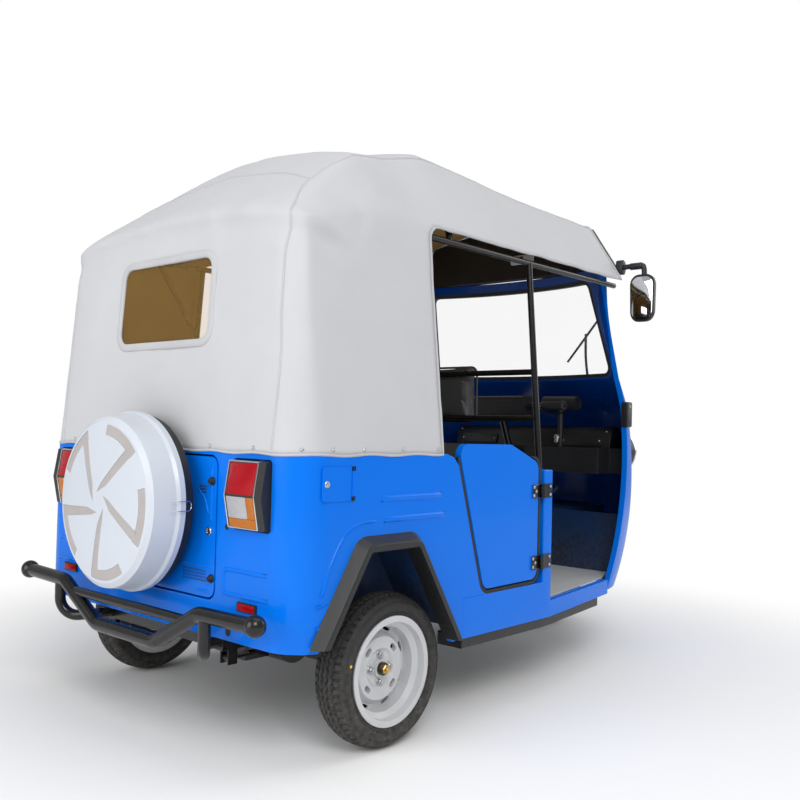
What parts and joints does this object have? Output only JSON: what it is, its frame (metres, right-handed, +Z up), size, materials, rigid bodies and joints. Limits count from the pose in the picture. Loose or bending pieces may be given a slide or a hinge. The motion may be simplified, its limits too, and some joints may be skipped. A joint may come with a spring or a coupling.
{
  "type": "auto rickshaw",
  "caption": "Three-wheeled passenger auto rickshaw with an open cab, handlebar steering, half doors, canvas canopy, rear bench, tail hatch carrying a covered spare wheel, and steel wheels.",
  "frame": {"origin": "on the ground under the middle of the bounding box", "axes": "+X forward, +Y to the left-hand side, +Z up"},
  "size_m": [2.7799, 1.536, 1.9898],
  "materials": {
    "blue_paint": "gloss",
    "grey_paint": "satin",
    "black_paint": "satin",
    "black_plastic": "fine grain",
    "white_plastic": "gloss",
    "red_lens": "gloss",
    "clear_lens": "clear",
    "clear_vinyl": "clear",
    "rubber": "matt",
    "tyre": "matt",
    "rim_steel": "satin",
    "canvas": "coated",
    "seat_vinyl": "grained"
  },
  "bodies": {
    "root": {"arch_flares": "black_plastic", "battery_box": "grey_paint", "bench_backrest": "seat_vinyl", "bench_cushion": "seat_vinyl", "cab_floor": "grey_paint", "canopy": "canvas", "chassis_frame": "black_paint", "dashboard": "black_plastic", "door_hinges": "black_paint", "drive_unit": "grey_paint", "driver_backrest": "seat_vinyl", "driver_cushion": "seat_vinyl", "front_cowl": "blue_paint", "front_wheelhouse": "grey_paint", "hatch_hinges": "black_paint", "headlamp_lenses": "clear_lens", "hood_frame": "black_paint", "instrument_pod": "black_plastic", "lamp_housings": "black_plastic", "mirrors": "black_plastic", "rear_axle": "black_paint", "rear_body": "blue_paint", "rear_bumper": "black_paint", "rear_lenses": "red_lens", "rear_window": "clear_vinyl", "roof_header": "black_plastic", "rubber_seals": "rubber", "seat_boxes": "black_paint", "side_steps": "black_plastic", "sills": "blue_paint", "wheel_housings": "blue_paint", "windscreen": "clear_lens", "wiper": "black_plastic"},
    "door_right_body": {"door_right": "blue_paint"},
    "door_left_body": {"door_left": "blue_paint"},
    "hatch": {"rear_hatch": "blue_paint", "spare_pan": "black_plastic", "spare_cover": "white_plastic"},
    "flap": {"charge_flap": "blue_paint"},
    "steering": {"front_fork": "black_paint", "handlebar_shroud": "black_plastic", "front_mudguard": "black_plastic"},
    "front_wheel": {"front_rim": "rim_steel", "front_tyre": "tyre"},
    "rear_wheel_right": {"rear_rim_right": "rim_steel", "rear_tyre_right": "tyre"},
    "rear_wheel_left": {"rear_rim_left": "rim_steel", "rear_tyre_left": "tyre"}
  },
  "joints": [
    {"name": "steer", "type": "hinge", "parent": "root", "child": "steering", "pos_m": [0.69, 0, 1.085], "axis": [-0.4067, 0, 0.9135], "range_deg": [-35, 35]},
    {"name": "front_wheel_spin", "type": "hinge", "parent": "steering", "child": "front_wheel", "pos_m": [1.12, 0, 0.2335], "axis": [0, 1, 0], "continuous": true},
    {"name": "rear_right_spin", "type": "hinge", "parent": "root", "child": "rear_wheel_right", "pos_m": [-0.78, -0.6195, 0.2335], "axis": [0, 1, 0], "continuous": true},
    {"name": "rear_left_spin", "type": "hinge", "parent": "root", "child": "rear_wheel_left", "pos_m": [-0.78, 0.6195, 0.2335], "axis": [0, 1, 0], "continuous": true},
    {"name": "door_right_hinge", "type": "hinge", "parent": "root", "child": "door_right_body", "pos_m": [-0.018, -0.709, 0.625], "axis": [0, 0, 1], "range_deg": [0, 85]},
    {"name": "door_left_hinge", "type": "hinge", "parent": "root", "child": "door_left_body", "pos_m": [-0.018, 0.709, 0.625], "axis": [0, 0, -1], "range_deg": [0, 85]},
    {"name": "hatch_hinge", "type": "hinge", "parent": "root", "child": "hatch", "pos_m": [-1.21, 0.345, 0.67], "axis": [0, 0, -1], "range_deg": [0, 90]},
    {"name": "flap_hinge", "type": "hinge", "parent": "root", "child": "flap", "pos_m": [-1, -0.7045, 0.811], "axis": [0, 0, 1], "range_deg": [0, 100]}
  ]
}
